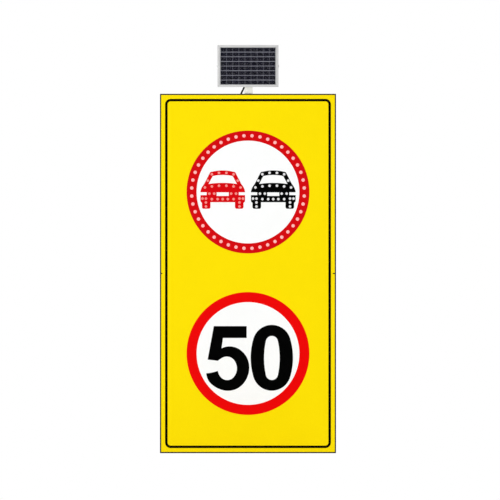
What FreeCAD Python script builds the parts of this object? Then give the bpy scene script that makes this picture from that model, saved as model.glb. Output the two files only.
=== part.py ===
import FreeCAD, Part
import math
import os

from FreeCAD import Vector

# Solar-powered road sign: two folded trays under one yellow face, a no-overtaking disc
# with lights above a speed limit disc, and a solar panel on a bracket at the top.
# Millimetres. +Z up, the face looks towards -Y. The origin is the middle of the board,
# in the plane where the rear rails meet the uprights.

# Board: two folded sheet trays, one above the other
board_width = 860.0
board_height = 1756.0
tray_depth = 30.0
tray_sheet = 2.0
bend_radius = 3.0

# Films on the face
film = 0.4
film_margin = 6.0
seam_height = 5.2
right_seam_length = 16.0
left_seam_length = 11.5
border_inset = 25.0
border_width = 12.0
border_radius = 27.0

# Discs, their gaps to the seam, their red rings and what is drawn on them
disc_diameter = 600.0
ring_width = 49.0
upper_disc_gap = 98.0
lower_disc_gap = 91.0
car_width = 218.0
car_spacing = 247.0
digit_height = 312.0

# Lights
ring_light_count = 44
ring_light_diameter = 18.0
car_light_diameter = 14.0
light_height = 3.0
light_tip_share = 0.62
light_sides = 8

# Circuit boards that carry the lights
ring_board_count = 8
ring_board_width = 26.0
board_thickness = 1.6
pad_size = 12.0
pad_thickness = 3.0
board_margin = 8.0
board_angle_share = 0.97

# Rear rails, hat-shaped, with slots for the clamps of two uprights
rail_web = 32.0
rail_flange = 15.0
rail_sheet = 2.0
rail_end_gap = 22.0
upright_spacing = 600.0
slot_width = 11.0
slot_length = 50.0
nut_flats = 10.0
nut_height = 5.0
nut_shares = (-0.84, -0.3, 0.3, 0.84)

# Plates and bolts that hold the two trays' walls together at the seam
tie_plate_width = 60.0
tie_plate_depth = 18.0
tie_plate_thickness = 3.0
tie_plate_shares = (-0.86, -0.28, 0.28, 0.86)
tie_bolt_spacing = 36.0

# Cover over the circuit boards
cover_depth = 25.0
cover_sheet = 1.5
cover_flange = 14.0
cover_corner = 22.0
cover_bevel = 4.0
cover_seal = 1.0
cover_clearance = 6.0
cover_screws_per_side = 3
screw_flats = 8.0
screw_height = 3.5

# Control box on the back of the cover
box_width = 240.0
box_height = 180.0
box_depth = 44.0
box_wall = 3.0
box_corner = 10.0
box_seal = 1.5
lid_depth = 10.0
lid_bevel = 2.0
post_size = 14.0
foot_width = 16.0
foot_height = 22.0
battery_height = 70.0
battery_depth = 36.0
battery_margin = 8.0
wiring_room = 16.0
strap_width = 18.0
strap_thickness = 1.0
controller_width = 62.0
controller_height = 96.0
controller_depth = 14.0
fin_count = 6
fin_height = 8.0
fin_thickness = 2.0
feed_diameter = 8.0
feed_clearance = 0.5

# Solar panel above the board
panel_width = 298.0
panel_height = 205.0
panel_depth = 18.0
panel_gap = 33.0
frame_face = 12.0
frame_wall = 1.5
frame_shelf = 8.0
frame_rear_flange = 15.0
laminate_clearance = 0.5
glass_thickness = 3.2
cell_thickness = 0.3
backsheet_thickness = 0.5
cell_columns = 9
cell_rows = 4
cell_gap = 1.2
string_gap = 3.0
cell_side_margin = 3.5
cell_end_margin = 1.0

# Bracket between the top rail and the panel
bracket_width = 38.5
bracket_offset = 3.0
bracket_sheet = 3.0
bracket_flange = 15.0
bracket_head = 30.0
bolt_flats = 13.0
bolt_height = 5.5

# Junction box on the panel's back, and the cable down to the control box, with a bend
# behind the panel's lower edge and one behind the board's top edge
junction_width = 54.0
junction_height = 40.0
junction_depth = 30.0
junction_lid = 2.0
junction_gap = 3.0
cable_diameter = 8.5
cable_sides = 12
cable_rear = 8.0
cable_start = -11.0
cable_drift = 30.0
cable_bend_room = 12.5
cable_bend_share = 0.45
gland_flats = 18.0
gland_nut = 6.0
gland_cap = 10.0
gland_cap_diameter = 13.5
gland_cap_sides = 12
clip_height = 12.0
clip_wall = 1.5
clip_foot = 9.0
clip_clearance = 0.3

# Planes and places that several pieces share
front = -tray_depth
back_of_sheet = front + tray_sheet
half_width = board_width / 2
board_top = board_height / 2
face_plane = front - film
disc_plane = face_plane - film
glyph_plane = disc_plane - film
disc_radius = disc_diameter / 2
upper_disc_height = upper_disc_gap + disc_radius
lower_disc_height = -lower_disc_gap - disc_radius
ring_inner_radius = disc_radius - ring_width
ring_light_radius = disc_radius - ring_width / 2
boards_front = back_of_sheet + pad_thickness
boards_back = boards_front + board_thickness
cover_half = ring_light_radius + ring_board_width / 2 + cover_clearance
cover_bottom = upper_disc_height - cover_half - cover_flange
cover_top = upper_disc_height + cover_half + cover_flange
cover_seat = back_of_sheet + cover_seal
cover_back = back_of_sheet + cover_depth
rail_half = rail_web / 2 + rail_flange
inner_rail_height = cover_bottom / 2
outer_rail_height = (cover_top + board_top) / 2
box_floor = cover_back + box_wall
box_top = upper_disc_height + box_height / 2
box_rim = cover_back + box_depth
panel_bottom = board_top + panel_gap
panel_middle = panel_bottom + panel_height / 2
laminate_front = -panel_depth + frame_wall
cells_front = laminate_front + glass_thickness
backsheet_front = cells_front + cell_thickness
laminate_back = backsheet_front + backsheet_thickness
gland_length = gland_nut + gland_cap
junction_bottom = panel_middle + bracket_head / 2 + gland_length + junction_gap
bracket_foot = outer_rail_height - rail_web / 2


def block(x, y, z):
    """A box from its low and high values along each axis."""
    corner = Vector(x[0], y[0], z[0])
    return Part.makeBox(x[1] - x[0], y[1] - y[0], z[1] - z[0], corner)


def outline(start, steps, place):
    """A closed wire. A step of one point is straight, a step of two is an arc."""
    edges = []
    here = place(start)
    for step in steps:
        points = [place(point) for point in step]
        if len(points) == 1:
            edges.append(Part.LineSegment(here, points[0]).toShape())
        else:
            edges.append(Part.Arc(here, points[0], points[1]).toShape())
        here = points[-1]
    return Part.Wire(edges)


def tangent_arcs(here, heading, ends):
    """Arc steps, each tangent to the one before. The heading at the start is in degrees."""
    steps = []
    heading = math.radians(heading)
    for end in ends:
        across = end[0] - here[0]
        up = end[1] - here[1]
        chord = math.atan2(up, across)
        half_turn = math.remainder(chord - heading, 2 * math.pi)
        bulge = math.tan(half_turn / 2) / 2
        steps.append([(here[0] + across / 2 + up * bulge, here[1] + up / 2 - across * bulge), end])
        heading = chord + half_turn
        here = end
    return steps


def upright_plane(y, x=0.0, z=0.0, scale=1.0):
    """Places a drawing's points on a plane that faces the viewer, with its own origin and scale."""
    return lambda point: Vector(x + point[0] * scale, y, z + point[1] * scale)


def rounded(width, height, radius):
    """The start and steps of a rectangle with round corners, centred on its drawing."""
    w = width / 2
    h = height / 2
    near = radius * (1 - math.sqrt(0.5))
    steps = [
        [(w - radius, -h)], [(w - near, -h + near), (w, -h + radius)],
        [(w, h - radius)], [(w - near, h - near), (w - radius, h)],
        [(-w + radius, h)], [(-w + near, h - near), (-w, h - radius)],
        [(-w, -h + radius)], [(-w + near, -h + near), (-w + radius, -h)],
    ]
    return (-w + radius, -h), steps


def rounded_block(width, height, radius, y, z=0.0):
    """A block with round corners as seen from the front, between two depths."""
    start, steps = rounded(width, height, radius)
    wire = outline(start, steps, upright_plane(y[0], z=z))
    return Part.Face(wire).extrude(Vector(0, y[1] - y[0], 0))


def cut_corner_block(half, cut, y, z):
    """A square block with its corners cut off, as seen from the front, between two depths."""
    near = half - cut
    corners = [
        (near, -half), (half, -near), (half, near), (near, half),
        (-near, half), (-half, near), (-half, -near), (-near, -half),
    ]
    wire = outline(corners[-1], [[corner] for corner in corners], upright_plane(y[0], z=z))
    return Part.Face(wire).extrude(Vector(0, y[1] - y[0], 0))


def sheet_piece(wires, thickness):
    """A flat piece whose first wire is its edge and the others its holes, laid towards the viewer."""
    piece = Part.Face(wires[0]).extrude(Vector(0, -thickness, 0))
    for hole in wires[1:]:
        piece = piece.cut(Part.Face(hole).extrude(Vector(0, -thickness, 0)))
    return piece


def disc(radius, y, z, thickness):
    """A round piece that lies on the plane y and reaches towards the viewer."""
    return Part.makeCylinder(radius, thickness, Vector(0, y, z), Vector(0, -1, 0))


def corners_round(middle, axis, sides, radius):
    """The corners of a regular polygon about an axis square to X or to Y, closed by its first one."""
    side = Vector(1, 0, 0) if abs(axis.y) > 0.5 else Vector(0, 1, 0)
    other = axis.cross(side)
    turns = [2 * math.pi * (corner + 0.5) / sides for corner in range(sides)]
    corners = [middle + side * (radius * math.cos(a)) + other * (radius * math.sin(a)) for a in turns]
    return corners + corners[:1]


def prism(middle, axis, sides, radius, length):
    """A regular prism that stands on its middle point along an axis."""
    return Part.Face(Part.makePolygon(corners_round(middle, axis, sides, radius))).extrude(axis * length)


def hexagon(middle, axis, flats, length):
    """A hexagonal prism, sized across its flats."""
    return prism(middle, axis, 6, flats / math.sqrt(3), length)


def rear_heads(places, y, flats, height):
    """Hexagon heads that sit on a rear face, one at each (x, z)."""
    back = Vector(0, 1, 0)
    return Part.Compound([hexagon(Vector(x, y, z), back, flats, height) for x, z in places])


def tray(bottom, top):
    """A tray folded from one sheet, open at the back, with round bends at its front edges."""
    round_share = bend_radius * (1 - math.sqrt(0.5))

    def fold(low, high, place):
        steps = [
            [(low, front + bend_radius)],
            [(low + round_share, front + round_share), (low + bend_radius, front)],
            [(high - bend_radius, front)],
            [(high - round_share, front + round_share), (high, front + bend_radius)],
            [(high, 0)],
            [(low, 0)],
        ]
        return Part.Face(outline((low, 0), steps, place))

    side_bends = fold(-half_width, half_width, lambda p: Vector(p[0], p[1], bottom))
    level_bends = fold(bottom, top, lambda p: Vector(-half_width, p[1], p[0]))
    outer = side_bends.extrude(Vector(0, 0, top - bottom))
    outer = outer.common(level_bends.extrude(Vector(board_width, 0, 0)))
    inside = half_width - tray_sheet
    hollow = block((-inside, inside), (back_of_sheet, 0), (bottom + tray_sheet, top - tray_sheet))
    return outer.cut(hollow)


def face_film():
    """The yellow film over both trays, notched where it stops short of the seam's ends."""
    edge = half_width - film_margin
    high = board_top - film_margin
    notch = seam_height / 2
    right = half_width - right_seam_length
    left = half_width - left_seam_length
    corners = [
        (edge, -high), (edge, -notch), (right, -notch), (right, notch), (edge, notch), (edge, high),
        (-edge, high), (-edge, notch), (-left, notch), (-left, -notch), (-edge, -notch), (-edge, -high),
    ]
    wire = outline(corners[-1], [[corner] for corner in corners], upright_plane(front))
    return sheet_piece([wire], film)


def border_line():
    """The black line that runs round inside the board's edge."""
    wires = []
    for inset in (border_inset, border_inset + border_width):
        radius = border_radius - (inset - border_inset)
        start, steps = rounded(board_width - 2 * inset, board_height - 2 * inset, radius)
        wires.append(outline(start, steps, upright_plane(face_plane)))
    return sheet_piece(wires, film)


def white_disc(height):
    """The white field inside a red ring."""
    return disc(ring_inner_radius, face_plane, height, film)


def red_ring(height):
    """The red ring of a disc, with its inner edge on the white field."""
    ring = disc(disc_radius, face_plane, height, film)
    return ring.cut(disc(ring_inner_radius, face_plane, height, film))


def car_film(x):
    """A car seen from the front. Its drawing is 100 units wide, level with the disc's centre."""
    right_half = outline((0.0, 48.3), [
        [(12.2, 47.6), (23.8, 45.4)],
        [(27.4, 44.6), (29.3, 42.0)],
        [(42.0, 17.4)],
        [(47.1, 9.8), (50.0, 1.4)],
        [(50.0, -0.5)], [(35.9, -0.5)], [(35.9, -7.0)], [(50.0, -7.0)], [(50.0, -19.7)],
        [(48.9, -22.3), (46.6, -24.1)],
        [(46.6, -33.5)], [(45.4, -36.3), (42.6, -37.5)],
        [(31.5, -37.5)], [(28.7, -36.3), (27.5, -33.5)],
        [(27.5, -22.8)], [(0.0, -22.8)],
        [(0.0, -8.8)], [(13.6, -8.8)], [(13.6, -0.7)], [(0.0, -0.7)],
        [(0.0, 20.4)], [(16.0, 19.8), (31.9, 18.0)],
        [(22.4, 35.8)], [(11.3, 37.7), (0.0, 38.3)],
        [(0.0, 48.3)],
    ], upright_plane(disc_plane, x, upper_disc_height, car_width / 100))
    half = sheet_piece([right_half], film)
    return half.fuse(half.mirror(Vector(x, 0, 0), Vector(1, 0, 0))).removeSplitter()


def car_light_places(x):
    """Where a car's lights sit, in the units of its drawing, in pairs about its middle."""
    pairs = [
        (24.4, 39.8), (8.3, 43.0), (33.5, 25.5), (39.9, 10.2), (24.3, 12.6), (8.3, 14.1),
        (29.9, -3.6), (18.9, -3.6), (45.4, -14.7), (37.6, -14.7), (24.4, -15.9), (11.4, -15.9),
        (37.6, -23.4), (37.6, -32.4),
    ]
    unit = car_width / 100
    drawn = [(side * u, v) for u, v in pairs for side in (-1, 1)] + [(0.0, -15.9)]
    return [(x + u * unit, upper_disc_height + v * unit) for u, v in drawn]


def ring_light_places():
    """Evenly spaced places round the red ring, with two of them astride the top."""
    turns = [2 * math.pi * (k + 0.5) / ring_light_count + math.pi / 2 for k in range(ring_light_count)]
    r = ring_light_radius
    return [(r * math.cos(a), upper_disc_height + r * math.sin(a)) for a in turns]


def lens(foot, axis, radius):
    """A low tapered lens of flat faces."""
    base = corners_round(foot, axis, light_sides, radius)
    tip = corners_round(foot + axis * light_height, axis, light_sides, radius * light_tip_share)
    outlines = [base, tip]
    for a, b, c, d in zip(base, base[1:], tip[1:], tip):
        outlines.append([a, b, c, d, a])
    shell = Part.makeShell([Part.Face(Part.makePolygon(points)) for points in outlines])
    solid = Part.makeSolid(shell)
    if solid.Volume < 0:
        solid.reverse()
    return solid


def lights(places, diameter, seat):
    """Lenses that stand on the face of a film, one at each (x, z)."""
    towards = Vector(0, -1, 0)
    return Part.Compound([lens(Vector(x, seat, z), towards, diameter / 2) for x, z in places])


def digit_five():
    """The five, drawn 100 units high about the disc's centre."""
    flag = [[(-2.1, 42.9)], [(-2.1, 24.3)], [(-39.2, 24.3)], [(-41.4, 8.1)]]
    outside = tangent_arcs((-41.4, 8.1), 27.0, [
        (-14.4, 7.2), (2.0, -21.0), (-8.0, -48.0), (-36.0, -58.0), (-57.2, -48.0), (-65.3, -31.0),
    ])
    inside = tangent_arcs((-47.2, -27.1), 278.2, [
        (-42.6, -37.1), (-22.4, -37.0), (-21.5, -10.7), (-40.2, -6.6), (-47.2, -11.4),
    ])
    steps = flag + outside + [[(-56.4, -29.8), (-47.2, -27.1)]] + inside + [[(-63.2, -9.6)], [(-53.5, 42.9)]]
    wire = outline((-53.5, 42.9), steps, upright_plane(disc_plane, 0.0, lower_disc_height, digit_height / 100))
    return sheet_piece([wire], film)


def oval(middle, half_width, half_height, end_radius, place):
    """An upright oval of eight tangent arcs, with the given radius at its top and bottom."""
    rise = half_height - end_radius
    side_radius = (half_width ** 2 + half_height ** 2 - 2 * half_height * end_radius)
    side_radius /= 2 * (half_width - end_radius)
    lean = math.atan2(rise, side_radius - half_width)
    meet = (half_width - side_radius + side_radius * math.cos(lean), side_radius * math.sin(lean))
    quarter = [(half_width, 0), meet, (0, half_height), (-meet[0], meet[1])]
    ring = quarter + [(-x, -z) for x, z in quarter]
    ring = [(middle[0] + x, middle[1] + z) for x, z in ring]
    return outline(ring[0], tangent_arcs(ring[0], 90.0, ring[1:] + ring[:1]), place)


def digit_zero():
    """The zero, in the same drawing as the five."""
    place = upright_plane(disc_plane, 0.0, lower_disc_height, digit_height / 100)
    edge = oval((37.3, -6.7), 33.1, 51.5, 30.0, place)
    counter = oval((37.4, -7.0), 12.25, 34.5, 9.6, place)
    return sheet_piece([edge, counter], film)


def hat_rail(height):
    """A hat-shaped rail across a tray's back, its web to the rear with a slot for each upright."""
    web = rail_web / 2
    foot = back_of_sheet
    inner = web - rail_sheet
    profile = [
        (foot, -rail_half), (foot + rail_sheet, -rail_half), (foot + rail_sheet, -web), (0, -web),
        (0, web), (foot + rail_sheet, web), (foot + rail_sheet, rail_half), (foot, rail_half),
        (foot, inner), (-rail_sheet, inner), (-rail_sheet, -inner), (foot, -inner), (foot, -rail_half),
    ]
    reach = half_width - tray_sheet - rail_end_gap
    wire = Part.makePolygon([Vector(-reach, y, height + z) for y, z in profile])
    rail = Part.Face(wire).extrude(Vector(2 * reach, 0, 0))
    r = slot_width / 2
    run = slot_length / 2 - r
    sides = [[(run, -r)], [(run + r, 0), (run, r)], [(-run, r)], [(-run - r, 0), (-run, -r)]]
    for side in (-1, 1):
        slot = outline((-run, -r), sides, upright_plane(0.0, side * upright_spacing / 2, height))
        rail = rail.cut(sheet_piece([slot], rail_sheet))
    return rail


def rail_nuts():
    """Nuts on the rails' flanges, on studs that are welded to the trays."""
    heights = [sign * height for height in (inner_rail_height, outer_rail_height) for sign in (-1, 1)]
    middle_of_flange = rail_half - rail_flange / 2
    places = []
    for height in heights:
        for index, share in enumerate(nut_shares):
            places.append((share * half_width, height + middle_of_flange * (-1) ** index))
    return rear_heads(places, back_of_sheet + rail_sheet, nut_flats, nut_height)


def tie_plates():
    """Plates on the walls at both sides of the seam."""
    middle = back_of_sheet / 2
    depth = (middle - tie_plate_depth / 2, middle + tie_plate_depth / 2)
    far = tray_sheet + tie_plate_thickness
    plates = []
    for share in tie_plate_shares:
        x = share * half_width
        across = (x - tie_plate_width / 2, x + tie_plate_width / 2)
        plates.append(block(across, depth, (tray_sheet, far)))
        plates.append(block(across, depth, (-far, -tray_sheet)))
    return Part.Compound(plates)


def tie_bolts():
    """Two bolts through each pair of plates, with their heads above the seam and their nuts below it."""
    seat = tray_sheet + tie_plate_thickness
    ends = []
    for share in tie_plate_shares:
        for shift in (-tie_bolt_spacing / 2, tie_bolt_spacing / 2):
            for side in (-1, 1):
                foot = Vector(share * half_width + shift, back_of_sheet / 2, side * seat)
                ends.append(hexagon(foot, Vector(0, 0, side), screw_flats, screw_height))
    return Part.Compound(ends)


def ring_boards():
    """Straight-edged boards in a ring, each behind its share of the ring's lights."""
    share = 2 * math.pi / ring_board_count
    half_share = share / 2 * board_angle_share
    inner = ring_light_radius - ring_board_width / 2
    outer = ring_light_radius + ring_board_width / 2
    boards = []
    for index in range(ring_board_count):
        middle = share * (index + 0.5)
        corners = [
            (inner, -half_share), (outer, -half_share), (outer / math.cos(half_share / 2), -half_share / 2),
            (outer / math.cos(half_share / 2), half_share / 2), (outer, half_share), (inner, half_share),
        ]
        points = [
            Vector(r * math.cos(middle + a), boards_front, upper_disc_height + r * math.sin(middle + a))
            for r, a in corners
        ]
        face = Part.Face(Part.makePolygon(points + points[:1]))
        boards.append(face.extrude(Vector(0, board_thickness, 0)))
    return Part.Compound(boards)


def car_board_edges(x):
    """The sides, bottom and top of the board behind a car, a margin outside its lights."""
    places = car_light_places(x)
    reach = max(place[0] for place in places) - x + board_margin
    low = min(place[1] for place in places) - board_margin
    high = max(place[1] for place in places) + board_margin
    return (x - reach, x + reach), (low, high)


def car_boards():
    """One board behind each car, with its corners cut off to stay inside the ring of boards."""
    cut = car_width / 5
    boards = []
    for side in (-1, 1):
        (left, right), (low, high) = car_board_edges(side * car_spacing / 2)
        corners = [
            (left + cut, low), (right - cut, low), (right, low + cut), (right, high - cut),
            (right - cut, high), (left + cut, high), (left, high - cut), (left, low + cut),
        ]
        points = [Vector(x, boards_front, z) for x, z in corners]
        face = Part.Face(Part.makePolygon(points + points[:1]))
        boards.append(face.extrude(Vector(0, board_thickness, 0)))
    return Part.Compound(boards)


def board_pads():
    """Foam pads that hold the boards off the back of the tray."""
    half = pad_size / 2
    places = []
    for index in range(ring_board_count):
        turn = 2 * math.pi / ring_board_count * (index + 0.5)
        r = ring_light_radius
        places.append((r * math.cos(turn), upper_disc_height + r * math.sin(turn)))
    for side in (-1, 1):
        across, up = car_board_edges(side * car_spacing / 2)
        middle = (up[0] + up[1]) / 2
        places += [(x, middle) for x in (across[0] + half, across[1] - half)]
    return Part.Compound([
        block((x - half, x + half), (back_of_sheet, boards_front), (z - half, z + half)) for x, z in places
    ])


def light_cover():
    """A shallow folded pan over the boards, bevelled round its back and flanged for its screws."""
    pan = cut_corner_block(cover_half, cover_corner, (cover_seat, cover_back), upper_disc_height)
    rim = [edge for edge in pan.Edges if min(v.Y for v in edge.Vertexes) > cover_back - cover_sheet]
    pan = pan.makeChamfer(cover_bevel, rim)
    foot = (cover_seat, cover_seat + cover_sheet)
    flange = cut_corner_block(cover_half + cover_flange, cover_corner, foot, upper_disc_height)
    inner_depth = (cover_seat, cover_back - cover_sheet)
    inner_half = cover_half - cover_sheet
    hollow = cut_corner_block(inner_half, cover_corner - cover_sheet / 2, inner_depth, upper_disc_height)
    rim = [edge for edge in hollow.Edges if min(v.Y for v in edge.Vertexes) > inner_depth[1] - cover_sheet]
    hollow = hollow.makeChamfer(cover_bevel - cover_sheet / 2, rim)
    return pan.fuse(flange).cut(hollow).cut(feed_hole(cover_back - 2 * cover_sheet, cover_back))


def cover_gasket():
    """The flat seal under the cover's flange."""
    depth = (back_of_sheet, cover_seat)
    ring = cut_corner_block(cover_half + cover_flange, cover_corner, depth, upper_disc_height)
    return ring.cut(cut_corner_block(cover_half, cover_corner, depth, upper_disc_height))


def cover_screws():
    """Screws along the four sides of the cover's flange."""
    middle = cover_half + cover_flange / 2
    pitch = 2 * cover_half / cover_screws_per_side
    places = []
    for index in range(cover_screws_per_side):
        along = (index - (cover_screws_per_side - 1) / 2) * pitch
        for side in (-1, 1):
            places.append((along, upper_disc_height + side * middle))
            places.append((side * middle, upper_disc_height + along))
    return rear_heads(places, cover_seat + cover_sheet, screw_flats, screw_height)


def feed_place():
    """Where the cable from the controller runs forward to the boards."""
    return box_width / 2 - box_wall - battery_margin / 2 - controller_width / 2, upper_disc_height


def feed_hole(near, far):
    """The clear hole round that cable."""
    x, z = feed_place()
    return Part.makeCylinder(feed_diameter / 2 + feed_clearance, far - near, Vector(x, near, z), Vector(0, 1, 0))


def feed_cable():
    """The cable from the controller's front to the back of a car's board."""
    x, z = feed_place()
    start = Vector(x, boards_back, z)
    return prism(start, Vector(0, 1, 0), cable_sides, feed_diameter / 2, box_floor - boards_back)


def box_room(y):
    """The room between the box's walls, from one depth to another."""
    x = box_width / 2 - box_wall
    z = box_height / 2 - box_wall
    return block((-x, x), y, (upper_disc_height - z, upper_disc_height + z))


def control_box():
    """A box with a screw post in each corner and a foot on each side, open at the back."""
    body = rounded_block(box_width, box_height, box_corner, (cover_back, box_rim), upper_disc_height)
    body = body.cut(box_room((box_floor, box_rim)))
    for x, z in corner_places(post_size / 2 + box_wall):
        half = post_size / 2
        body = body.fuse(block((x - half, x + half), (box_floor, box_rim), (z - half, z + half)))
    for x, z in foot_places():
        foot = block((x - foot_width / 2, x + foot_width / 2), (cover_back, box_floor),
                     (z - foot_height / 2, z + foot_height / 2))
        body = body.fuse(foot)
    return body.cut(feed_hole(cover_back, box_floor)).removeSplitter()


def corner_places(inset):
    """The box's four corners, an inset in from its outside."""
    x = box_width / 2 - inset
    z = box_height / 2 - inset
    return [(a * x, upper_disc_height + b * z) for a in (-1, 1) for b in (-1, 1)]


def foot_places():
    """Two feet on each side of the box, flat on the cover."""
    x = (box_width + foot_width) / 2
    z = box_height / 4
    return [(a * x, upper_disc_height + b * z) for a in (-1, 1) for b in (-1, 1)]


def box_gasket():
    """The seal between the box and its lid, round the outside of the posts' screws."""
    depth = (box_rim, box_rim + box_seal)
    ring = rounded_block(box_width, box_height, box_corner, depth, upper_disc_height)
    return ring.cut(box_room(depth))


def box_lid():
    """A lid with a bevelled back and a hollow inside."""
    near = box_rim + box_seal
    far = near + lid_depth
    lid = rounded_block(box_width, box_height, box_corner, (near, far), upper_disc_height)
    rim = [edge for edge in lid.Edges if min(v.Y for v in edge.Vertexes) > far - box_wall / 2]
    lid = lid.makeChamfer(lid_bevel, rim)
    return lid.cut(box_room((near, far - box_wall)))


def box_screws():
    """Four screws through the lid and four through the feet."""
    lid_back = box_rim + box_seal + lid_depth
    lid_heads = rear_heads(corner_places(post_size / 2 + box_wall), lid_back, screw_flats, screw_height)
    foot_heads = rear_heads(foot_places(), box_floor, screw_flats, screw_height)
    return Part.Compound([lid_heads, foot_heads])


def battery_edges():
    """The battery's sides and height: from the box's left posts to the wires beside the controller."""
    left = -box_width / 2 + box_wall + post_size + battery_margin
    right = feed_place()[0] - controller_width / 2 - wiring_room
    half_height = battery_height / 2
    return (left, right), (upper_disc_height - half_height, upper_disc_height + half_height)


def battery():
    """A flat battery pack with two terminals on its right end."""
    across, up = battery_edges()
    pack = block(across, (box_floor, box_floor + battery_depth), up)
    terminal = battery_margin / 2
    for z in (up[0] + battery_height / 4, up[1] - battery_height / 4):
        depth = (box_floor + battery_depth / 2 - terminal, box_floor + battery_depth / 2 + terminal)
        pack = pack.fuse(block((across[1], across[1] + terminal), depth, (z - terminal, z + terminal)))
    return pack


def battery_strap():
    """A strap folded over the battery, with a foot above and below it."""
    across, up = battery_edges()
    middle = (across[0] + across[1]) / 2
    x = (middle - strap_width / 2, middle + strap_width / 2)
    t = strap_thickness
    over = block(x, (box_floor, box_floor + battery_depth + t), (up[0] - t, up[1] + t))
    over = over.cut(block(x, (box_floor, box_floor + battery_depth), up))
    feet = block(x, (box_floor, box_floor + t), (up[0] - strap_width, up[1] + strap_width))
    return over.fuse(feet.cut(block(x, (box_floor, box_floor + t), up))).removeSplitter()


def charge_controller():
    """The charge controller and flasher, with cooling fins and a row of terminals at its foot."""
    x, z = feed_place()
    across = (x - controller_width / 2, x + controller_width / 2)
    low = z - controller_height / 2
    high = z + controller_height / 2
    back = box_floor + controller_depth
    terminals = controller_height / 5
    case = block(across, (box_floor, back), (low, high))
    case = case.fuse(block(across, (back, back + fin_height / 2), (low, low + terminals)))
    pitch = (controller_width - fin_thickness) / (fin_count - 1)
    for index in range(fin_count):
        fin = (across[0] + index * pitch, across[0] + index * pitch + fin_thickness)
        case = case.fuse(block(fin, (back, back + fin_height), (low + terminals * 1.5, high)))
    return case.removeSplitter()


def gland(x, y, seat, down):
    """A cable gland on the face at height seat: a hexagon nut and a many-sided cap."""
    axis = Vector(0, 0, -1 if down else 1)
    middle = Vector(x, y, seat)
    nut = hexagon(middle, axis, gland_flats, gland_nut)
    cap = prism(middle + axis * gland_nut, axis, gland_cap_sides, gland_cap_diameter / 2, gland_cap)
    return nut.fuse(cap)


def mitred(frame, low, high):
    """Cuts a rectangular frame into its four members along the corners' mitres."""
    w = panel_width / 2
    run = panel_height / 2
    middle = (low + high) / 2
    regions = [
        [(-w, low), (w, low), (w - run, middle), (-w + run, middle)],
        [(-w, high), (-w + run, middle), (w - run, middle), (w, high)],
        [(-w, low), (-w + run, middle), (-w, high)],
        [(w, low), (w, high), (w - run, middle)],
    ]
    members = []
    for region in regions:
        points = [Vector(x, -panel_depth, z) for x, z in region]
        wedge = Part.Face(Part.makePolygon(points + points[:1])).extrude(Vector(0, panel_depth, 0))
        members.append(frame.common(wedge))
    return Part.Compound(members)


def solar_frame():
    """Four mitred extrusions with a lip in front, a pocket for the glass and a flange behind."""
    w = panel_width / 2
    low = panel_bottom
    high = panel_bottom + panel_height

    def inset(distance, y):
        return block((-w + distance, w - distance), y, (low + distance, high - distance))

    frame = inset(0.0, (-panel_depth, 0.0))
    frame = frame.cut(inset(frame_face, (-panel_depth, laminate_front)))
    frame = frame.cut(inset(frame_wall, (laminate_front, laminate_back)))
    frame = frame.cut(inset(frame_shelf, (laminate_back, laminate_back + frame_wall)))
    frame = frame.cut(inset(frame_wall, (laminate_back + frame_wall, -frame_wall)))
    frame = frame.cut(inset(frame_rear_flange, (-frame_wall, 0.0)))
    return mitred(frame, low, high)


def laminate_sheet(near, far):
    """A layer of the panel, held in the frame's pocket."""
    edge = frame_wall + laminate_clearance
    w = panel_width / 2 - edge
    return block((-w, w), (near, far), (panel_bottom + edge, panel_bottom + panel_height - edge))


def solar_cells():
    """Dark cells in strings, side by side behind the glass."""
    left = -panel_width / 2 + frame_face + cell_side_margin
    low = panel_bottom + frame_face + cell_end_margin
    across = panel_width - 2 * (frame_face + cell_side_margin)
    up = panel_height - 2 * (frame_face + cell_end_margin)
    width = (across - (cell_columns - 1) * cell_gap) / cell_columns
    height = (up - (cell_rows - 1) * string_gap) / cell_rows
    cells = []
    for column in range(cell_columns):
        for row in range(cell_rows):
            x = left + column * (width + cell_gap)
            z = low + row * (height + string_gap)
            cells.append(block((x, x + width), (cells_front, backsheet_front), (z, z + height)))
    return Part.Compound(cells)


def solar_bracket():
    """A T-shaped plate: its head carries the panel, its folded stem is bolted to the top rail."""
    t = bracket_sheet
    left = bracket_offset - bracket_width / 2
    right = bracket_offset + bracket_width / 2
    head_low = panel_middle - bracket_head / 2
    head_high = panel_middle + bracket_head / 2
    stem = block((left, right), (0, t), (bracket_foot, head_high))
    head = block((-panel_width / 2, panel_width / 2), (0, t), (head_low, head_high))
    plate = stem.fuse(head)
    for x in ((left, left + t), (right - t, right)):
        wing = Part.makePolygon([
            Vector(x[0], 0, bracket_foot), Vector(x[0], bracket_flange, bracket_foot),
            Vector(x[0], bracket_flange, board_top), Vector(x[0], 0, board_top + bracket_flange),
            Vector(x[0], 0, bracket_foot),
        ])
        plate = plate.fuse(Part.Face(wing).extrude(Vector(x[1] - x[0], 0, 0)))
    return plate.removeSplitter()


def bracket_bolt_places():
    """Two bolts into the top rail and one into each side of the panel's frame."""
    spread = rail_web / 4
    side = (panel_width - frame_rear_flange) / 2
    rail_bolts = [(bracket_offset, outer_rail_height + shift) for shift in (-spread, spread)]
    return rail_bolts + [(-side, panel_middle), (side, panel_middle)]


def bracket_bolts():
    """Bolt heads on the bracket's back."""
    return rear_heads(bracket_bolt_places(), bracket_sheet, bolt_flats, bolt_height)


def junction_box():
    """The box on the panel's back where the cable starts."""
    half = junction_width / 2
    x = cable_start + half / 2
    depth = (laminate_back, laminate_back + junction_depth)
    return block((x - half, x + half), depth, (junction_bottom, junction_bottom + junction_height))


def junction_cover():
    """Its lid, a little inside the box's edge."""
    half = junction_width / 2 - junction_lid
    x = cable_start + junction_width / 4
    near = laminate_back + junction_depth
    up = (junction_bottom + junction_lid, junction_bottom + junction_height - junction_lid)
    return block((x - half, x + half), (near, near + junction_lid), up)


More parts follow.
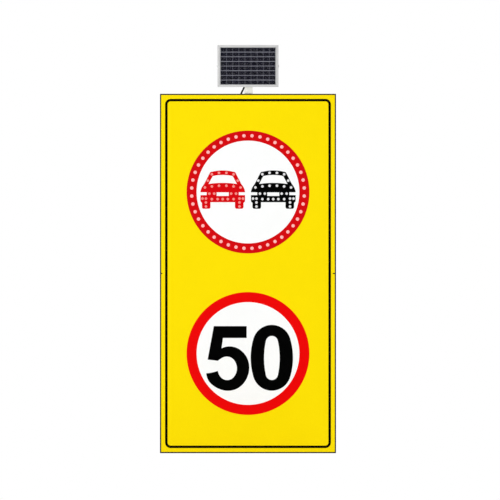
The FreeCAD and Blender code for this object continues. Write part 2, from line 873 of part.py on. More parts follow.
def cable_route():
    """The corners of the solar cable's way, from gland to gland."""
    turned = cable_start - cable_drift
    return [
        Vector(cable_start, cable_rear, junction_bottom - gland_length),
        Vector(cable_start, cable_rear, panel_bottom + cable_bend_room),
        Vector(turned, cable_rear, board_top - cable_bend_room),
        Vector(turned, cable_rear, box_top + gland_length),
    ]


def cable_section(middle, along):
    """The cable's many-sided section, square to its way."""
    return Part.Face(Part.makePolygon(corners_round(middle, along, cable_sides, cable_diameter / 2)))


def solar_cable():
    """Straight runs joined by tangent bends, each sized by the shorter run beside it."""
    points = cable_route()
    pieces = []
    here = points[0]
    for before, corner, after in zip(points, points[1:], points[2:]):
        into = (corner - before).normalize()
        away = (after - corner).normalize()
        reach = cable_bend_share * min((corner - before).Length, (after - corner).Length)
        start = corner - into * reach
        turn = into.getAngle(away)
        radius = reach / math.tan(turn / 2)
        axis = into.cross(away).normalize()
        centre = start + axis.cross(into) * radius
        pieces.append(cable_section(here, into).extrude(start - here))
        pieces.append(cable_section(start, into).revolve(centre, axis, math.degrees(turn)))
        here = corner + away * reach
        print("cable bend radius", round(radius, 1))
    pieces.append(cable_section(here, away).extrude(points[-1] - here))
    return pieces[0].fuse(pieces[1:])


def cable_clips():
    """A folded saddle on the top rail and one on the light cover, each over the cable."""
    x = cable_start - cable_drift
    inner = cable_diameter / 2 + clip_clearance
    outer = inner + clip_wall
    clips = []
    for seat, z in ((0.0, outer_rail_height), (cover_back, upper_disc_height + cover_half - cover_corner)):
        up = (z - clip_height / 2, z + clip_height / 2)
        saddle = block((x - outer, x + outer), (seat, cable_rear + outer), up)
        feet = block((x - outer - clip_foot, x + outer + clip_foot), (seat, seat + clip_wall), up)
        tunnel = block((x - inner, x + inner), (seat, cable_rear + inner), up)
        clips.append(saddle.fuse(feet).cut(tunnel).removeSplitter())
    return Part.Compound(clips)


def write(name, shape):
    """One file per sub-part."""
    shape.exportStep("parts/" + name + ".step")


os.makedirs("parts", exist_ok=True)

write("upper_board", tray(0.0, board_top))
write("lower_board", tray(-board_top, 0.0))
write("tie_plates", tie_plates())
write("tie_bolts", tie_bolts())

write("face_film", face_film())
write("border_line", border_line())
write("upper_white_disc", white_disc(upper_disc_height))
write("lower_white_disc", white_disc(lower_disc_height))
write("upper_red_ring", red_ring(upper_disc_height))
write("lower_red_ring", red_ring(lower_disc_height))
write("red_car", car_film(-car_spacing / 2))
write("black_car", car_film(car_spacing / 2))
write("digit_five", digit_five())
write("digit_zero", digit_zero())

write("ring_lights", lights(ring_light_places(), ring_light_diameter, disc_plane))
write("red_car_lights", lights(car_light_places(-car_spacing / 2), car_light_diameter, glyph_plane))
write("black_car_lights", lights(car_light_places(car_spacing / 2), car_light_diameter, glyph_plane))
write("ring_light_boards", ring_boards())
write("car_light_boards", car_boards())
write("board_pads", board_pads())
write("light_cover", light_cover())
write("cover_gasket", cover_gasket())
write("cover_screws", cover_screws())

write("top_rail", hat_rail(outer_rail_height))
write("upper_middle_rail", hat_rail(inner_rail_height))
write("lower_middle_rail", hat_rail(-inner_rail_height))
write("bottom_rail", hat_rail(-outer_rail_height))
write("rail_nuts", rail_nuts())

write("control_box", control_box())
write("box_gasket", box_gasket())
write("box_lid", box_lid())
write("box_screws", box_screws())
write("battery", battery())
write("battery_strap", battery_strap())
write("charge_controller", charge_controller())
write("feed_cable", feed_cable())
write("box_gland", gland(cable_start - cable_drift, cable_rear, box_top, False))

write("solar_frame", solar_frame())
write("solar_glass", laminate_sheet(laminate_front, cells_front))
write("solar_cells", solar_cells())
write("solar_backsheet", laminate_sheet(backsheet_front, laminate_back))
write("solar_bracket", solar_bracket())
write("bracket_bolts", bracket_bolts())
write("junction_box", junction_box())
write("junction_cover", junction_cover())
write("junction_gland", gland(cable_start, cable_rear, junction_bottom, True))
write("solar_cable", solar_cable())
write("cable_clips", cable_clips())
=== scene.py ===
import math

import bmesh
import bpy
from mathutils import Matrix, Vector


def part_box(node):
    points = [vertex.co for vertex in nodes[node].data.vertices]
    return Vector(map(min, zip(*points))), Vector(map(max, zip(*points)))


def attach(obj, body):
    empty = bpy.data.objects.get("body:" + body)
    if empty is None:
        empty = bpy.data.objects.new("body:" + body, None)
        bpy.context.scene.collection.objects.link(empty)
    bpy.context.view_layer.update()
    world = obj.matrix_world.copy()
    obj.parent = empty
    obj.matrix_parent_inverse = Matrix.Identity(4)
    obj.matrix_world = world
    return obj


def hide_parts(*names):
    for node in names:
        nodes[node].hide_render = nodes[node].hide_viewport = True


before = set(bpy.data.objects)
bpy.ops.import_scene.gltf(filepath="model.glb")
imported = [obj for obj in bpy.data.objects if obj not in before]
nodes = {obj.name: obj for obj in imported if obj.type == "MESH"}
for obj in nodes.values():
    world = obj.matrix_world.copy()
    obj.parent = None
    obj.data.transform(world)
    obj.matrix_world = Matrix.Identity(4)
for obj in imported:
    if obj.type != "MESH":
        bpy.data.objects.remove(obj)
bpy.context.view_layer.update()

# The picture: 500 pixels across, seen square from the front
PIXEL = 0.004886
PICTURE_WIDTH = 500 * PIXEL
PICTURE_MIDDLE = (0.0098, 0.1147)
CAMERA_DISTANCE = 6.0

# Half a millimetre under the board
FLOOR_HEIGHT = -0.8785
FLOOR_SIZE = 30

# Forms made from CAD nodes
SAME_POINT = 1e-6
JUST_INSIDE = 0.0001
FLAT_ANGLE = math.radians(0.5)
SMOOTH_ANGLE = math.radians(28)
ROUNDED_ANGLE = math.radians(35)

# The solar cable: its middle line as x and z, at one depth
CABLE_ROUTE = [(-0.011, 1.0315), (-0.011, 0.955), (-0.011, 0.9235),
               (-0.041, 0.8655), (-0.041, 0.829), (-0.041, 0.504)]
CABLE_DEPTH = 0.008
CABLE_RADIUS = 0.00425

# Widths on the solar panel
FINGER_PITCH = 0.0019
FINGER_WIDTH = 0.00012
RIBBON_WIDTH = 0.0018
GLASS_GAP = 0.0001

# The six-sided cells of the sheeting
SEALED_CELL = 0.0045

# Turned forms, as steps of a shape, a share of the radius and a share of the height.
# A flanged rim and a dome
LENS = [
    ("round", 1.0, 0.0), ("round", 1.0, 0.16), ("round", 0.96, 0.22), ("round", 0.84, 0.22),
    ("round", 0.8, 0.4), ("round", 0.76, 0.52), ("round", 0.66, 0.68), ("round", 0.54, 0.82),
    ("round", 0.38, 0.92), ("round", 0.22, 0.98), ("round", 0.0, 1.0),
]

# A washer, a nut and the threaded end of its stud
STUD = 0.55
NUT = [
    ("round", 1.75, 0.0), ("round", 1.75, 0.22), ("round", 1.02, 0.24),
    ("hex", 1.0, 0.34), ("hex", 1.0, 0.9), ("round", 0.97, 1.0), ("round", STUD, 1.0),
    ("round", 0.86 * STUD, 0.96), ("round", 0.96 * STUD, 1.06), ("round", 0.86 * STUD, 1.14),
    ("round", 0.96 * STUD, 1.22), ("round", 0.86 * STUD, 1.3), ("round", 0.96 * STUD, 1.38),
    ("round", 0.8 * STUD, 1.46), ("round", 0.0, 1.46),
]

# A washer and a head with the shallow dish that forging leaves
BOLT_HEAD = [
    ("round", 1.6, 0.0), ("round", 1.6, 0.2), ("round", 1.02, 0.22),
    ("hex", 1.0, 0.32), ("hex", 1.0, 0.86), ("round", 0.96, 1.0),
    ("round", 0.74, 1.0), ("round", 0.66, 0.94), ("round", 0.0, 0.94),
]

# A button head with its socket
BUTTON_HEAD = [
    ("round", 1.0, 0.0), ("round", 1.0, 0.25), ("round", 0.94, 0.5), ("round", 0.8, 0.78),
    ("round", 0.58, 0.96), ("round", 0.48, 1.0), ("hex", 0.38, 1.0),
    ("hex", 0.38, 0.45), ("round", 0.0, 0.4),
]

# A seal, a hexagon body and a cap that narrows to the cable
GLAND = [
    ("round", 1.04, 0.0), ("round", 1.04, 0.04), ("round", 0.97, 0.05),
    ("hex", 1.0, 0.09), ("hex", 1.0, 0.33), ("round", 0.95, 0.37), ("round", 0.74, 0.375),
    ("round", 0.74, 0.41), ("hex", 0.8, 0.42), ("hex", 0.8, 0.72), ("round", 0.72, 0.84),
    ("round", 0.58, 0.96), ("round", 0.5, 1.0), ("round", 0.3, 1.0),
]


def rgb(red, green, blue):
    """A display colour of 0 to 255 as linear values."""
    values = [value / 255 for value in (red, green, blue)]
    return tuple(v / 12.92 if v <= 0.04045 else ((v + 0.055) / 1.055) ** 2.4 for v in values) + (1.0,)


class Finish:
    """A material whose shader takes its colour, roughness and bump from a few nodes."""

    def __init__(self, name, roughness=0.5, metallic=0.0, gloss=0.5):
        self.material = bpy.data.materials.new(name)
        self.material.use_nodes = True
        self.tree = self.material.node_tree
        self.shader = self.tree.nodes["Principled BSDF"]
        self.shader.inputs["Roughness"].default_value = roughness
        self.shader.inputs["Metallic"].default_value = metallic
        self.shader.inputs["Specular IOR Level"].default_value = gloss
        self.place = self.tree.nodes.new("ShaderNodeTexCoord").outputs["Object"]

    def put(self, socket, value):
        """Gives a socket a plain value or another node's output."""
        if isinstance(value, bpy.types.NodeSocket):
            self.tree.links.new(value, socket)
        else:
            socket.default_value = value

    def math(self, operation, *values):
        """The result of a sum on plain values or other nodes' outputs."""
        node = self.tree.nodes.new("ShaderNodeMath")
        node.operation = operation
        for socket, value in zip(node.inputs, values):
            self.put(socket, value)
        return node.outputs[0]

    def stretched(self, x, y, z):
        """The place on the object, scaled along each axis."""
        node = self.tree.nodes.new("ShaderNodeVectorMath")
        node.operation = "MULTIPLY"
        self.put(node.inputs[0], self.place)
        node.inputs[1].default_value = (x, y, z)
        return node.outputs[0]

    def axes(self):
        """The place on the object as three numbers, in metres."""
        node = self.tree.nodes.new("ShaderNodeSeparateXYZ")
        self.put(node.inputs[0], self.place)
        return node.outputs

    def noise(self, scale, detail=3.0, place=None):
        """A cloudy random value, most of it between 0.3 and 0.7."""
        node = self.tree.nodes.new("ShaderNodeTexNoise")
        self.put(node.inputs["Vector"], place or self.place)
        node.inputs["Scale"].default_value = scale
        node.inputs["Detail"].default_value = detail
        return node.outputs["Fac"]

    def grains(self, scale):
        """A random value for each grain of a cracked pattern."""
        node = self.tree.nodes.new("ShaderNodeTexVoronoi")
        self.put(node.inputs["Vector"], self.place)
        node.inputs["Scale"].default_value = scale
        shade = self.tree.nodes.new("ShaderNodeSeparateColor")
        self.put(shade.inputs[0], node.outputs["Color"])
        return shade.outputs[0]

    def between(self, value, low, high, first=0.0, last=1.0):
        """Carries a value from one range to another, held at its ends."""
        node = self.tree.nodes.new("ShaderNodeMapRange")
        for socket, number in zip(node.inputs, (value, low, high, first, last)):
            self.put(socket, number)
        return node.outputs[0]

    def spread(self, noise, first=0.0, last=1.0):
        """Carries most of a noise from one value to another."""
        return self.between(noise, 0.3, 0.7, first, last)

    def mixed(self, share, first, second):
        """A colour between two, which is the second where the share is one."""
        node = self.tree.nodes.new("ShaderNodeMix")
        node.data_type = "RGBA"
        self.put(node.inputs["Factor"], share)
        self.put(node.inputs[6], first)
        self.put(node.inputs[7], second)
        return node.outputs[2]

    def colour(self, value):
        self.put(self.shader.inputs["Base Color"], value)
        return self

    def rough(self, value):
        self.put(self.shader.inputs["Roughness"], value)
        return self

    def bump(self, height, distance, strength=1.0):
        node = self.tree.nodes.new("ShaderNodeBump")
        self.put(node.inputs["Height"], height)
        node.inputs["Distance"].default_value = distance
        node.inputs["Strength"].default_value = strength
        self.put(self.shader.inputs["Normal"], node.outputs[0])
        return self

    def honeycomb(self, cell):
        """Nought inside each six-sided cell of the face, rising to one on the lines between them."""
        x, _, z = self.axes()
        tall = math.sqrt(3)
        nearest = None
        for shift in (0.0, 0.5):
            across = self.math("MULTIPLY_ADD", x, 1 / cell, shift)
            u = self.math("ABSOLUTE", self.math("WRAP", across, 0.5, -0.5))
            upward = self.math("MULTIPLY_ADD", z, 1 / cell, shift * tall)
            v = self.math("ABSOLUTE", self.math("WRAP", upward, tall / 2, -tall / 2))
            slanted = self.math("MULTIPLY_ADD", v, tall / 2, self.math("MULTIPLY", u, 0.5))
            away = self.math("MAXIMUM", u, slanted)
            nearest = away if nearest is None else self.math("MINIMUM", nearest, away)
        return self.between(nearest, 0.44, 0.48)


def sheeting(name, colour, line):
    """Retroreflective film: sealed six-sided cells under a clear skin, a little uneven in tone."""
    look = Finish(name, gloss=0.025)
    darker = tuple(0.97 * value for value in colour[:3]) + (1.0,)
    body = look.mixed(look.spread(look.noise(9.0), 0.0, 0.5), colour, darker)
    seal = look.honeycomb(SEALED_CELL)
    look.colour(look.mixed(look.math("MULTIPLY", seal, 0.6), body, line))
    look.rough(look.spread(look.noise(300.0), 0.38, 0.5))
    return look.bump(seal, 0.00005, 0.5).material


def black_film():
    """Opaque black film with a faint grain."""
    look = Finish("black_film", gloss=0.006)
    grain = look.noise(700.0)
    look.colour(look.mixed(look.spread(look.noise(30.0)), rgb(1, 1, 1), rgb(4, 4, 4)))
    look.rough(look.spread(grain, 0.4, 0.55))
    return look.bump(grain, 0.00004).material


def powder_coat():
    """Black powder coating with the slight ripple of its cured skin."""
    look = Finish("powder_coat", gloss=0.12)
    ripple = look.noise(650.0, 2.0)
    look.colour(look.mixed(look.spread(look.noise(14.0)), rgb(18, 18, 19), rgb(27, 27, 29)))
    look.rough(look.spread(look.noise(90.0), 0.42, 0.58))
    return look.bump(ripple, 0.00012, 0.6).material


def galvanised(name, dark, light):
    """Zinc-coated steel with the mottled grains of its coating."""
    look = Finish(name, metallic=1.0)
    grain = look.grains(150.0)
    cloud = look.spread(look.noise(25.0))
    share = look.math("MULTIPLY_ADD", grain, 0.6, look.math("MULTIPLY", cloud, 0.4))
    look.colour(look.mixed(share, dark, light))
    look.rough(look.between(grain, 0.0, 1.0, 0.34, 0.5))
    return look.bump(look.noise(420.0), 0.00004).material


def brushed(name, dark, light, along, roughness):
    """Metal with fine drawn lines along one axis."""
    look = Finish(name, metallic=1.0)
    stretch = [1400.0, 1400.0, 1400.0]
    stretch["xyz".index(along)] = 12.0
    line = look.noise(1.0, 2.0, look.stretched(*stretch))
    cloud = look.spread(look.noise(12.0))
    share = look.math("MULTIPLY_ADD", line, 0.5, look.math("MULTIPLY", cloud, 0.5))
    look.colour(look.mixed(share, dark, light))
    look.rough(look.spread(line, roughness - 0.06, roughness + 0.08))
    return look.bump(line, 0.00003).material


def moulded(name, dark, light, roughness, grain_scale=900.0, gloss=0.5):
    """Moulded plastic or rubber with a fine grain."""
    look = Finish(name, gloss=gloss)
    grain = look.noise(grain_scale)
    look.colour(look.mixed(look.spread(look.noise(20.0)), dark, light))
    look.rough(look.spread(grain, roughness - 0.06, roughness + 0.08))
    return look.bump(grain, 0.00006).material


def woven():
    """Webbing of the battery's strap."""
    look = Finish("webbing", roughness=0.8)
    x, y, z = look.axes()
    warp = look.math("SINE", look.math("MULTIPLY", x, 4000.0))
    weft = look.math("SINE", look.math("MULTIPLY", look.math("ADD", y, z), 4000.0))
    weave = look.math("MULTIPLY", warp, weft)
    look.colour(look.mixed(look.between(weave, -1.0, 1.0), rgb(14, 14, 15), rgb(34, 34, 36)))
    return look.bump(weave, 0.0001).material


def circuit_board():
    """Green resist over copper tracks."""
    look = Finish("circuit_board")
    look.shader.inputs["Coat Weight"].default_value = 0.5
    look.shader.inputs["Coat Roughness"].default_value = 0.1
    x, _, z = look.axes()
    track = look.math("SINE", look.math("MULTIPLY", look.math("ADD", x, z), 1800.0))
    look.colour(look.mixed(look.between(track, 0.5, 0.8), rgb(10, 62, 34), rgb(26, 92, 50)))
    return look.rough(look.spread(look.noise(300.0), 0.3, 0.45)).material


def lens_body(name, light, shade):
    """Milky clear plastic over a faintly lit diode."""
    look = Finish(name, roughness=0.14, gloss=0.35)
    look.colour(look.mixed(look.between(look.noise(500.0), 0.35, 0.65), light, shade))
    look.shader.inputs["Emission Color"].default_value = light
    look.shader.inputs["Emission Strength"].default_value = 0.1
    return look.material


def solar_cell():
    """Dark crystalline silicon with silver fingers and one ribbon along the middle of each string."""
    look = Finish("solar_cell", roughness=0.3, gloss=0.03)
    x, _, z = look.axes()
    rows = sorted({round((low.z + high.z) / 2, 5) for low, high in solid_boxes("solar_cells")})
    pitch = rows[1] - rows[0]
    crystal = look.mixed(look.grains(110.0), rgb(14, 14, 27), rgb(23, 23, 39))
    from_finger = look.math("ABSOLUTE", look.math("WRAP", x, FINGER_PITCH / 2, -FINGER_PITCH / 2))
    finger = look.between(from_finger, FINGER_WIDTH / 2, FINGER_WIDTH, 0.15, 0.0)
    cell = look.mixed(finger, crystal, rgb(110, 110, 124))
    string = look.math("WRAP", look.math("SUBTRACT", z, rows[0]), pitch / 2, -pitch / 2)
    from_ribbon = look.math("ABSOLUTE", string)
    ribbon = look.between(from_ribbon, RIBBON_WIDTH / 2, RIBBON_WIDTH / 2 + 0.00005, 1.0, 0.0)
    return look.colour(look.mixed(ribbon, cell, rgb(188, 189, 202))).material


def panel_glass():
    """Thin clear cover glass: a sheen over the cells that grows towards its edge-on side."""
    look = Finish("panel_glass", roughness=0.03, metallic=1.0)
    look.colour(look.mixed(look.noise(4.0), rgb(240, 243, 246), rgb(248, 249, 250)))
    fresnel = look.tree.nodes.new("ShaderNodeFresnel")
    fresnel.inputs["IOR"].default_value = 1.45
    sheen = look.math("SUBTRACT", fresnel.outputs[0], 0.029)
    look.put(look.shader.inputs["Alpha"], look.math("MAXIMUM", sheen, 0.004))
    look.material.surface_render_method = "BLENDED"
    return look.material


def panel_back():
    """The panel's rear film: white behind, greyer in front and darkest between the cells."""
    look = Finish("panel_back", roughness=0.5)
    facing = look.tree.nodes.new("ShaderNodeSeparateXYZ")
    look.put(facing.inputs[0], look.tree.nodes.new("ShaderNodeNewGeometry").outputs["Normal"])
    rear = look.mixed(look.noise(60.0), rgb(222, 223, 222), rgb(236, 236, 234))
    edge = max(high.x for _, high in solid_boxes("solar_cells"))
    beside = look.between(look.math("ABSOLUTE", look.axes()[0]), edge, edge + 0.0002)
    front = look.mixed(beside, rgb(134, 134, 147), rgb(196, 197, 198))
    look.colour(look.mixed(look.between(facing.outputs[1], -0.1, 0.1), front, rear))
    return look.bump(look.noise(1200.0), 0.00002).material


def dress(material, *names):
    """Gives CAD nodes a material."""
    for name in names:
        for slot in nodes[name].material_slots:
            slot.material = material


def add_piece(name, form, material, replaced):
    """Puts a form in the scene as a piece of the object that stands for a CAD node."""
    mesh = bpy.data.meshes.new(name)
    form.to_mesh(mesh)
    form.free()
    mesh.materials.append(material)
    mesh.shade_smooth()
    mesh.set_sharp_from_angle(angle=SMOOTH_ANGLE)
    piece = bpy.data.objects.new(name, mesh)
    bpy.context.scene.collection.objects.link(piece)
    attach(piece, "root")
    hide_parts(replaced)
    return piece


def clean_form(node, wanted=None):
    """A CAD node's form with whole flat faces, or only those of its faces that are wanted."""
    form = bmesh.new()
    form.from_mesh(nodes[node].data)
    if wanted:
        others = [face for face in form.faces if not wanted(face)]
        bmesh.ops.delete(form, geom=others, context="FACES")
    bmesh.ops.remove_doubles(form, verts=form.verts, dist=SAME_POINT)
    bmesh.ops.dissolve_limit(form, angle_limit=FLAT_ANGLE, verts=form.verts, edges=form.edges)
    return form


def mitred_form(node):
    """The form of a four-sided frame, its members kept apart where their mitres touch."""
    low, high = [Vector(corner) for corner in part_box(node)]

    def side_of(face):
        """The outer side that lies nearest to a point just inside the face."""
        inside = face.calc_center_median() - JUST_INSIDE * face.normal
        reaches = (inside.x - low.x, high.x - inside.x, inside.z - low.z, high.z - inside.z)
        return reaches.index(min(reaches))

    whole = bmesh.new()
    for side in range(4):
        member = clean_form(node, lambda face: side_of(face) == side)
        mesh = bpy.data.meshes.new(node + "_member")
        member.to_mesh(mesh)
        member.free()
        whole.from_mesh(mesh)
        bpy.data.meshes.remove(mesh)
    return whole


def rounded_copy(node, material, width, segments=2, form=None):
    """Stands for a CAD node with the same form, its sharp edges rounded."""
    piece = add_piece(node + "_rounded", form or clean_form(node), material, node)
    bevel = piece.modifiers.new("edges", "BEVEL")
    bevel.width = width
    bevel.segments = segments
    bevel.limit_method = "ANGLE"
    bevel.angle_limit = ROUNDED_ANGLE
    bevel.use_clamp_overlap = True
    return piece


def solid_boxes(node):
    """The lowest and highest corner of each separate solid of a CAD node."""
    form = clean_form(node)
    left = set(form.verts)
    boxes = []
    while left:
        island = [left.pop()]
        for vert in island:
            for edge in vert.link_edges:
                other = edge.other_vert(vert)
                if other in left:
                    left.remove(other)
                    island.append(other)
        points = [vert.co for vert in island]
        boxes.append((Vector(map(min, *points)), Vector(map(max, *points))))
    form.free()
    return sorted(boxes, key=lambda box: tuple(box[0]))


def turned(form, seat, profile, sides):
    """Adds a turned form on a seat, which gives its foot, its axis, its radius and its height.

    A hexagon's radius is half its width across flats.
    """
    foot, along, radius, height = seat
    side = Vector((1, 0, 0)) if abs(along.x) < 0.5 else Vector((0, 0, 1))
    other = along.cross(side)
    first = last = None
    for shape, wide, high in profile:
        ring = []
        for index in range(sides if wide else 1):
            turn = 2 * math.pi * index / sides
            reach = wide * radius
            if shape == "hex":
                reach /= math.cos((turn + math.pi / 6) % (math.pi / 3) - math.pi / 6)
            outward = side * math.cos(turn) + other * math.sin(turn)
            ring.append(form.verts.new(foot + along * (high * height) + outward * reach))
        if last:
            for index in range(sides):
                near = (index + 1) % sides
                corners = [last[index % len(last)], last[near % len(last)],
                           ring[near % len(ring)], ring[index % len(ring)]]
                form.faces.new(list(dict.fromkeys(corners)))
        first = first or ring
        last = ring
    for end in (first, last):
        if len(end) > 1:
            form.faces.new(end)


def front_seat(low, high):
    """The seat of a light on a front face."""
    foot = Vector(((low.x + high.x) / 2, high.y, (low.z + high.z) / 2))
    return foot, Vector((0, -1, 0)), (high.x - low.x) / 2, high.y - low.y


def rear_seat(low, high):
    """The seat of a hexagon head on a rear face."""
    foot = Vector(((low.x + high.x) / 2, low.y, (low.z + high.z) / 2))
    return foot, Vector((0, 1, 0)), min(high.x - low.x, high.z - low.z) / 2, high.y - low.y


def button_seat(low, high):
    """The seat of a round head on a rear face, as wide as its solid's corners."""
    foot, along, _, height = rear_seat(low, high)
    return foot, along, max(high.x - low.x, high.z - low.z) / 2, height


def seam_seat(low, high):
    """The seat of a head above the seam, or of a nut below it."""
    side = 1 if low.z > 0 else -1
    foot = Vector(((low.x + high.x) / 2, (low.y + high.y) / 2, low.z if side > 0 else high.z))
    return foot, Vector((0, 0, side)), min(high.x - low.x, high.y - low.y) / 2, high.z - low.z


def upright_seat(low, high):
    """The seat of a gland that stands on its foot."""
    foot = Vector(((low.x + high.x) / 2, (low.y + high.y) / 2, low.z))
    return foot, Vector((0, 0, 1)), (high.y - low.y) / 2, high.z - low.z


def hanging_seat(low, high):
    """The seat of a gland that hangs from its foot."""
    foot = Vector(((low.x + high.x) / 2, (low.y + high.y) / 2, high.z))
    return foot, Vector((0, 0, -1)), (high.y - low.y) / 2, high.z - low.z


def turned_pieces(node, ending, material, seat, profile, sides=24):
    """Stands for a CAD node with a turned form for each of its solids."""
    form = bmesh.new()
    for low, high in solid_boxes(node):
        turned(form, seat(low, high), profile, sides)
    bmesh.ops.recalc_face_normals(form, faces=form.faces)
    add_piece(node + ending, form, material, node)


def cover_glass():
    """The panel's glass with ground edges, its back a hair in front of the cells."""
    piece = rounded_copy("solar_glass", panel_glass(), 0.0005)
    back = max(vert.co.y for vert in piece.data.vertices)
    for vert in piece.data.vertices:
        if vert.co.y == back:
            vert.co.y -= GLASS_GAP


def smooth_cable():
    """The solar cable as one round tube through the route's corners."""
    line = bpy.data.curves.new("solar_cable_tube", "CURVE")
    line.dimensions = "3D"
    line.bevel_depth = CABLE_RADIUS
    line.bevel_resolution = 5
    line.use_fill_caps = True
    line.resolution_u = 10
    spline = line.splines.new("NURBS")
    spline.points.add(len(CABLE_ROUTE) - 1)
    for point, (x, z) in zip(spline.points, CABLE_ROUTE):
        point.co = (x, CABLE_DEPTH, z, 1.0)
    spline.order_u = 3
    spline.use_endpoint_u = True
    line.materials.append(cable_skin)
    piece = bpy.data.objects.new("solar_cable_tube", line)
    bpy.context.scene.collection.objects.link(piece)
    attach(piece, "root")
    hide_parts("solar_cable")


def make_camera():
    """Square to the face, with the picture's own scale."""
    data = bpy.data.cameras.new("camera")
    data.type = "ORTHO"
    data.ortho_scale = PICTURE_WIDTH
    data.clip_end = 100
    camera = bpy.data.objects.new("camera", data)
    camera.location = (PICTURE_MIDDLE[0], -CAMERA_DISTANCE, PICTURE_MIDDLE[1])
    camera.rotation_euler = (math.radians(90), 0, 0)
    bpy.context.scene.collection.objects.link(camera)
    bpy.context.scene.camera = camera


def make_lamp(name, place, size, power):
    """A soft square lamp that faces the middle of the board."""
    data = bpy.data.lights.new(name, "AREA")
    data.size = size
    data.energy = power
    lamp = bpy.data.objects.new(name, data)
    lamp.location = place
    lamp.rotation_euler = (-Vector(place)).to_track_quat("-Z", "Y").to_euler()
    bpy.context.scene.collection.objects.link(lamp)


def make_world():
    """White surroundings: full white to the camera and in reflections, softer as a light."""
    world = bpy.data.worlds.new("studio")
    bpy.context.scene.world = world
    world.use_nodes = True
    tree = world.node_tree
    light = tree.nodes["Background"]
    light.inputs["Color"].default_value = (1, 1, 1, 1)
    light.inputs["Strength"].default_value = 0.8
    backdrop = tree.nodes.new("ShaderNodeBackground")
    backdrop.inputs["Color"].default_value = (1, 1, 1, 1)
    ray = tree.nodes.new("ShaderNodeLightPath").outputs
    share = ray["Is Camera Ray"]
    for kind in ("Is Glossy Ray", "Is Transmission Ray"):
        either = tree.nodes.new("ShaderNodeMath")
        either.operation = "MAXIMUM"
        tree.links.new(share, either.inputs[0])
        tree.links.new(ray[kind], either.inputs[1])
        share = either.outputs[0]
    seen = tree.nodes.new("ShaderNodeMixShader")
    tree.links.new(share, seen.inputs[0])
    tree.links.new(light.outputs[0], seen.inputs[1])
    tree.links.new(backdrop.outputs[0], seen.inputs[2])
    tree.links.new(seen.outputs[0], tree.nodes["World Output"].inputs[0])


def make_floor():
    """A pale floor under the board."""
    form = bmesh.new()
    bmesh.ops.create_grid(form, x_segments=1, y_segments=1, size=FLOOR_SIZE)
    mesh = bpy.data.meshes.new("floor")
    form.to_mesh(mesh)
    form.free()
    look = Finish("floor", roughness=0.7)
    look.colour(look.mixed(look.noise(3.0), rgb(243, 243, 242), rgb(246, 246, 245)))
    mesh.materials.append(look.material)
    floor = bpy.data.objects.new("floor", mesh)
    floor.location = (0, 0, FLOOR_HEIGHT)
    bpy.context.scene.collection.objects.link(floor)


yellow_sheeting = sheeting("yellow_sheeting", rgb(252, 225, 0), rgb(238, 207, 0))
white_sheeting = sheeting("white_sheeting", rgb(252, 253, 253), rgb(236, 238, 240))
upper_red = sheeting("upper_red", rgb(211, 6, 13), rgb(188, 6, 13))
lower_red = sheeting("lower_red", rgb(237, 2, 2), rgb(212, 3, 3))
car_red = sheeting("car_red", rgb(215, 3, 13), rgb(192, 4, 13))
coated = powder_coat()
rail_zinc = galvanised("rail_zinc", rgb(158, 161, 164), rgb(196, 199, 202))
bracket_zinc = galvanised("bracket_zinc", rgb(192, 192, 187), rgb(216, 215, 208))
bolt_zinc = brushed("bolt_zinc", rgb(176, 178, 180), rgb(212, 213, 212), "y", 0.34)
cover_metal = brushed("cover_metal", rgb(142, 146, 150), rgb(168, 171, 174), "x", 0.4)
frame_metal = brushed("frame_metal", rgb(170, 170, 170), rgb(184, 184, 184), "x", 0.36)
fin_metal = brushed("fin_metal", rgb(70, 72, 76), rgb(88, 90, 94), "z", 0.4)
box_plastic = moulded("box_plastic", rgb(203, 206, 204), rgb(211, 213, 211), 0.5)
dark_plastic = moulded("dark_plastic", rgb(20, 20, 21), rgb(28, 28, 30), 0.45)
battery_case = moulded("battery_case", rgb(30, 34, 44), rgb(38, 42, 54), 0.4)
cable_skin = moulded("cable_skin", rgb(6, 6, 6), rgb(12, 12, 12), 0.5, 500.0, gloss=0.1)
seal_rubber = moulded("seal_rubber", rgb(16, 16, 16), rgb(26, 26, 26), 0.75, 400.0)

dress(yellow_sheeting, "face_film")
dress(white_sheeting, "upper_white_disc", "lower_white_disc")
dress(upper_red, "upper_red_ring")
dress(lower_red, "lower_red_ring")
dress(car_red, "red_car")
dress(black_film(), "border_line", "black_car", "digit_five", "digit_zero")
dress(circuit_board(), "ring_light_boards", "car_light_boards")
dress(seal_rubber, "board_pads", "cover_gasket", "box_gasket")
dress(battery_case, "battery")
dress(woven(), "battery_strap")
dress(fin_metal, "charge_controller")
dress(cable_skin, "feed_cable")
dress(solar_cell(), "solar_cells")
dress(panel_back(), "solar_backsheet")

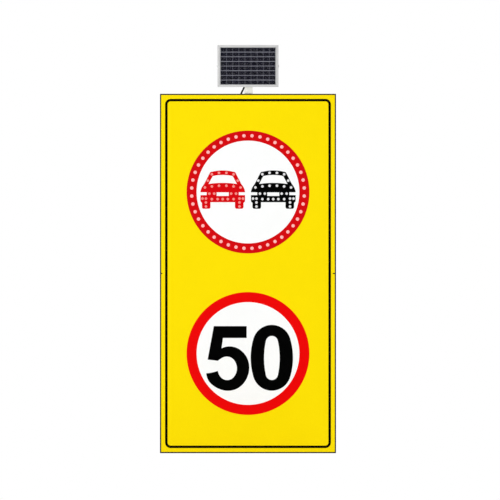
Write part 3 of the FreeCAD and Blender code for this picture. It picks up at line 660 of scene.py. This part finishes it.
ring_light = lens_body("ring_light_core", rgb(251, 182, 180), rgb(249, 172, 170))
car_light = lens_body("car_light_core", rgb(238, 140, 134), rgb(236, 130, 124))
white_light = lens_body("white_light_core", rgb(222, 222, 224), rgb(212, 212, 214))
turned_pieces("ring_lights", "_lenses", ring_light, front_seat, LENS, 20)
turned_pieces("red_car_lights", "_lenses", car_light, front_seat, LENS, 20)
turned_pieces("black_car_lights", "_lenses", white_light, front_seat, LENS, 20)

for board in ("upper_board", "lower_board"):
    rounded_copy(board, coated, 0.0006, 1)
rounded_copy("tie_plates", coated, 0.0006)
for rail in ("top_rail", "upper_middle_rail", "lower_middle_rail", "bottom_rail"):
    rounded_copy(rail, rail_zinc, 0.0009)
rounded_copy("cable_clips", rail_zinc, 0.0005)
rounded_copy("light_cover", cover_metal, 0.0007)
rounded_copy("control_box", box_plastic, 0.0008)
rounded_copy("box_lid", box_plastic, 0.0008)
rounded_copy("solar_frame", frame_metal, 0.0004, form=mitred_form("solar_frame"))
cover_glass()
rounded_copy("solar_bracket", bracket_zinc, 0.0006)
rounded_copy("junction_box", dark_plastic, 0.0015, 3)
rounded_copy("junction_cover", dark_plastic, 0.0007)

turned_pieces("rail_nuts", "_nuts", bolt_zinc, rear_seat, NUT)
turned_pieces("tie_bolts", "_heads", bolt_zinc, seam_seat, BOLT_HEAD)
for bolts in ("cover_screws", "bracket_bolts"):
    turned_pieces(bolts, "_heads", bolt_zinc, rear_seat, BOLT_HEAD)
turned_pieces("box_screws", "_buttons", bolt_zinc, button_seat, BUTTON_HEAD)
turned_pieces("box_gland", "_fitting", dark_plastic, upright_seat, GLAND, 48)
turned_pieces("junction_gland", "_fitting", dark_plastic, hanging_seat, GLAND, 48)
smooth_cable()

make_camera()
make_world()
make_floor()
make_lamp("front_lamp", (-3.4, -9.0, 0.1), 3.0, 265)
make_lamp("rear_lamp", (3.0, 5.0, 3.0), 3.0, 70)
bpy.context.scene.view_settings.view_transform = "Standard"

bpy.context.view_layer.update()
